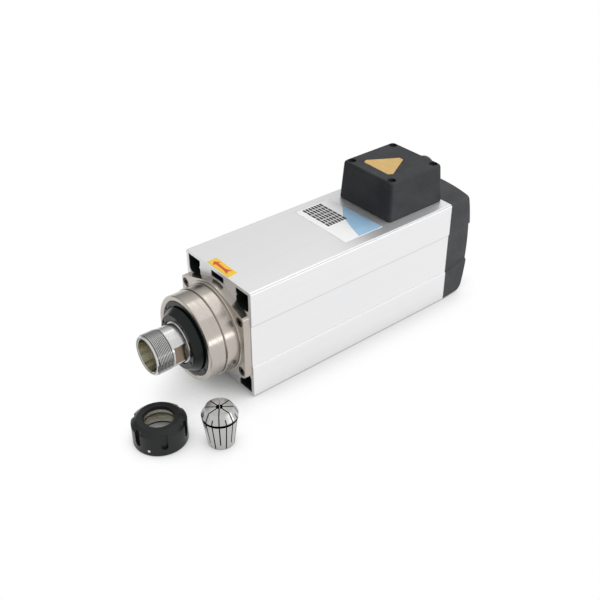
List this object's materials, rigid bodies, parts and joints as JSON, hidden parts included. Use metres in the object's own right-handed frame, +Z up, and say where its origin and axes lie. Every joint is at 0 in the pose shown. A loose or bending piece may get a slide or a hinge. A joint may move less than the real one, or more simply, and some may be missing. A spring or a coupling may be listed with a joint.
{
  "type": "motor spindle",
  "caption": "Square air-cooled motor spindle with round bearing nose, collet shaft, terminal box, domed rear cover, and a loose clamping nut and collet.",
  "frame": {"origin": "on the shaft axis, in the front face of the extruded housing", "axes": "+Z up, away from the mounting face; +Y along the shaft towards the rear cover; the collet nose points to -Y; +X towards the side where the loose nut and collet stand"},
  "size_m": [0.1475, 0.4242, 0.1589],
  "materials": {
    "silver_housing": "fine satin anodised extrusion",
    "front_steel": "fine turned and polished",
    "black_screws": "black oxide",
    "black_ring": "black oxide, turned",
    "bright_shaft": "ground and polished steel",
    "bearing_steel": "ground bearing steel",
    "cage_brass": "turned brass",
    "grey_steel": "plain turned steel",
    "lamination_steel": "stacked laminations",
    "cast_aluminium": "as cast",
    "winding_copper": "varnished copper wire",
    "black_moulding": "moulded nylon",
    "charcoal_cover": "fine grained moulding",
    "black_rubber": "soft rubber",
    "board_resin": "moulded resin",
    "terminal_brass": "plain brass",
    "black_nut": "black oxide steel",
    "ring_steel": "turned steel",
    "collet_steel": "ground spring steel"
  },
  "bodies": {
    "housing": {"motor_body": "silver_housing", "bearing_housing": "front_steel", "flange_screws": "black_screws", "front_lock_ring": "black_ring", "front_outer_rings": "bearing_steel", "stator_core": "lamination_steel", "stator_windings": "winding_copper", "rear_shield": "cast_aluminium", "shield_screws": "grey_steel", "rear_outer_ring": "bearing_steel", "preload_spring": "grey_steel", "rear_cover": "charcoal_cover", "rear_cover_screws": "black_screws", "box_hood": "charcoal_cover", "box_gasket": "black_rubber", "box_screws": "black_screws", "terminal_board": "board_resin", "terminal_studs": "terminal_brass", "terminal_nuts": "terminal_brass", "link_straps": "terminal_brass", "earth_screw": "terminal_brass", "gland_body": "black_moulding", "gland_cap": "black_moulding", "gland_seal": "black_rubber", "gland_locknut": "black_moulding"},
    "rotor": {"labyrinth_hub": "black_ring", "spindle_shaft": "bright_shaft", "front_inner_rings": "bearing_steel", "bearing_locknut": "grey_steel", "rotor_core": "lamination_steel", "rotor_cage": "cast_aluminium", "rear_inner_ring": "bearing_steel", "cooling_fan": "black_moulding", "fan_nut": "grey_steel"},
    "front_ball_row_a": {"front_balls_a": "bearing_steel", "front_cage_a": "cage_brass"},
    "front_ball_row_b": {"front_balls_b": "bearing_steel", "front_cage_b": "cage_brass"},
    "rear_ball_row": {"rear_balls": "bearing_steel", "rear_cage": "cage_brass"},
    "nut": {"clamping_nut": "black_nut"},
    "nut_ring": {"extractor_ring": "ring_steel"},
    "spring_collet": {"collet": "collet_steel"}
  },
  "joints": [
    {"name": "shaft_spin", "type": "hinge", "parent": "housing", "child": "rotor", "pos_m": [0, 0, 0], "axis": [0, 1, 0], "continuous": true},
    {"name": "front_row_a_spin", "type": "hinge", "parent": "housing", "child": "front_ball_row_a", "pos_m": [0, 0, 0], "axis": [0, 1, 0], "continuous": true},
    {"name": "front_row_b_spin", "type": "hinge", "parent": "housing", "child": "front_ball_row_b", "pos_m": [0, 0, 0], "axis": [0, 1, 0], "continuous": true},
    {"name": "rear_row_spin", "type": "hinge", "parent": "housing", "child": "rear_ball_row", "pos_m": [0, 0, 0], "axis": [0, 1, 0], "continuous": true},
    {"name": "nut_lift", "type": "slide", "parent": "housing", "child": "nut", "axis": [0, 0, 1], "range_m": [0, 0.12]},
    {"name": "nut_ring_turn", "type": "hinge", "parent": "nut", "child": "nut_ring", "pos_m": [0.0416, -0.0982, -0.05875], "axis": [0, 0, 1], "continuous": true},
    {"name": "collet_lift", "type": "slide", "parent": "housing", "child": "spring_collet", "axis": [0, 0, 1], "range_m": [0, 0.12]}
  ],
  "couplings": [
    {"joint": "front_row_a_spin", "follows": "shaft_spin", "ratio": 0.4028},
    {"joint": "front_row_b_spin", "follows": "shaft_spin", "ratio": 0.4028},
    {"joint": "rear_row_spin", "follows": "shaft_spin", "ratio": 0.4039}
  ]
}
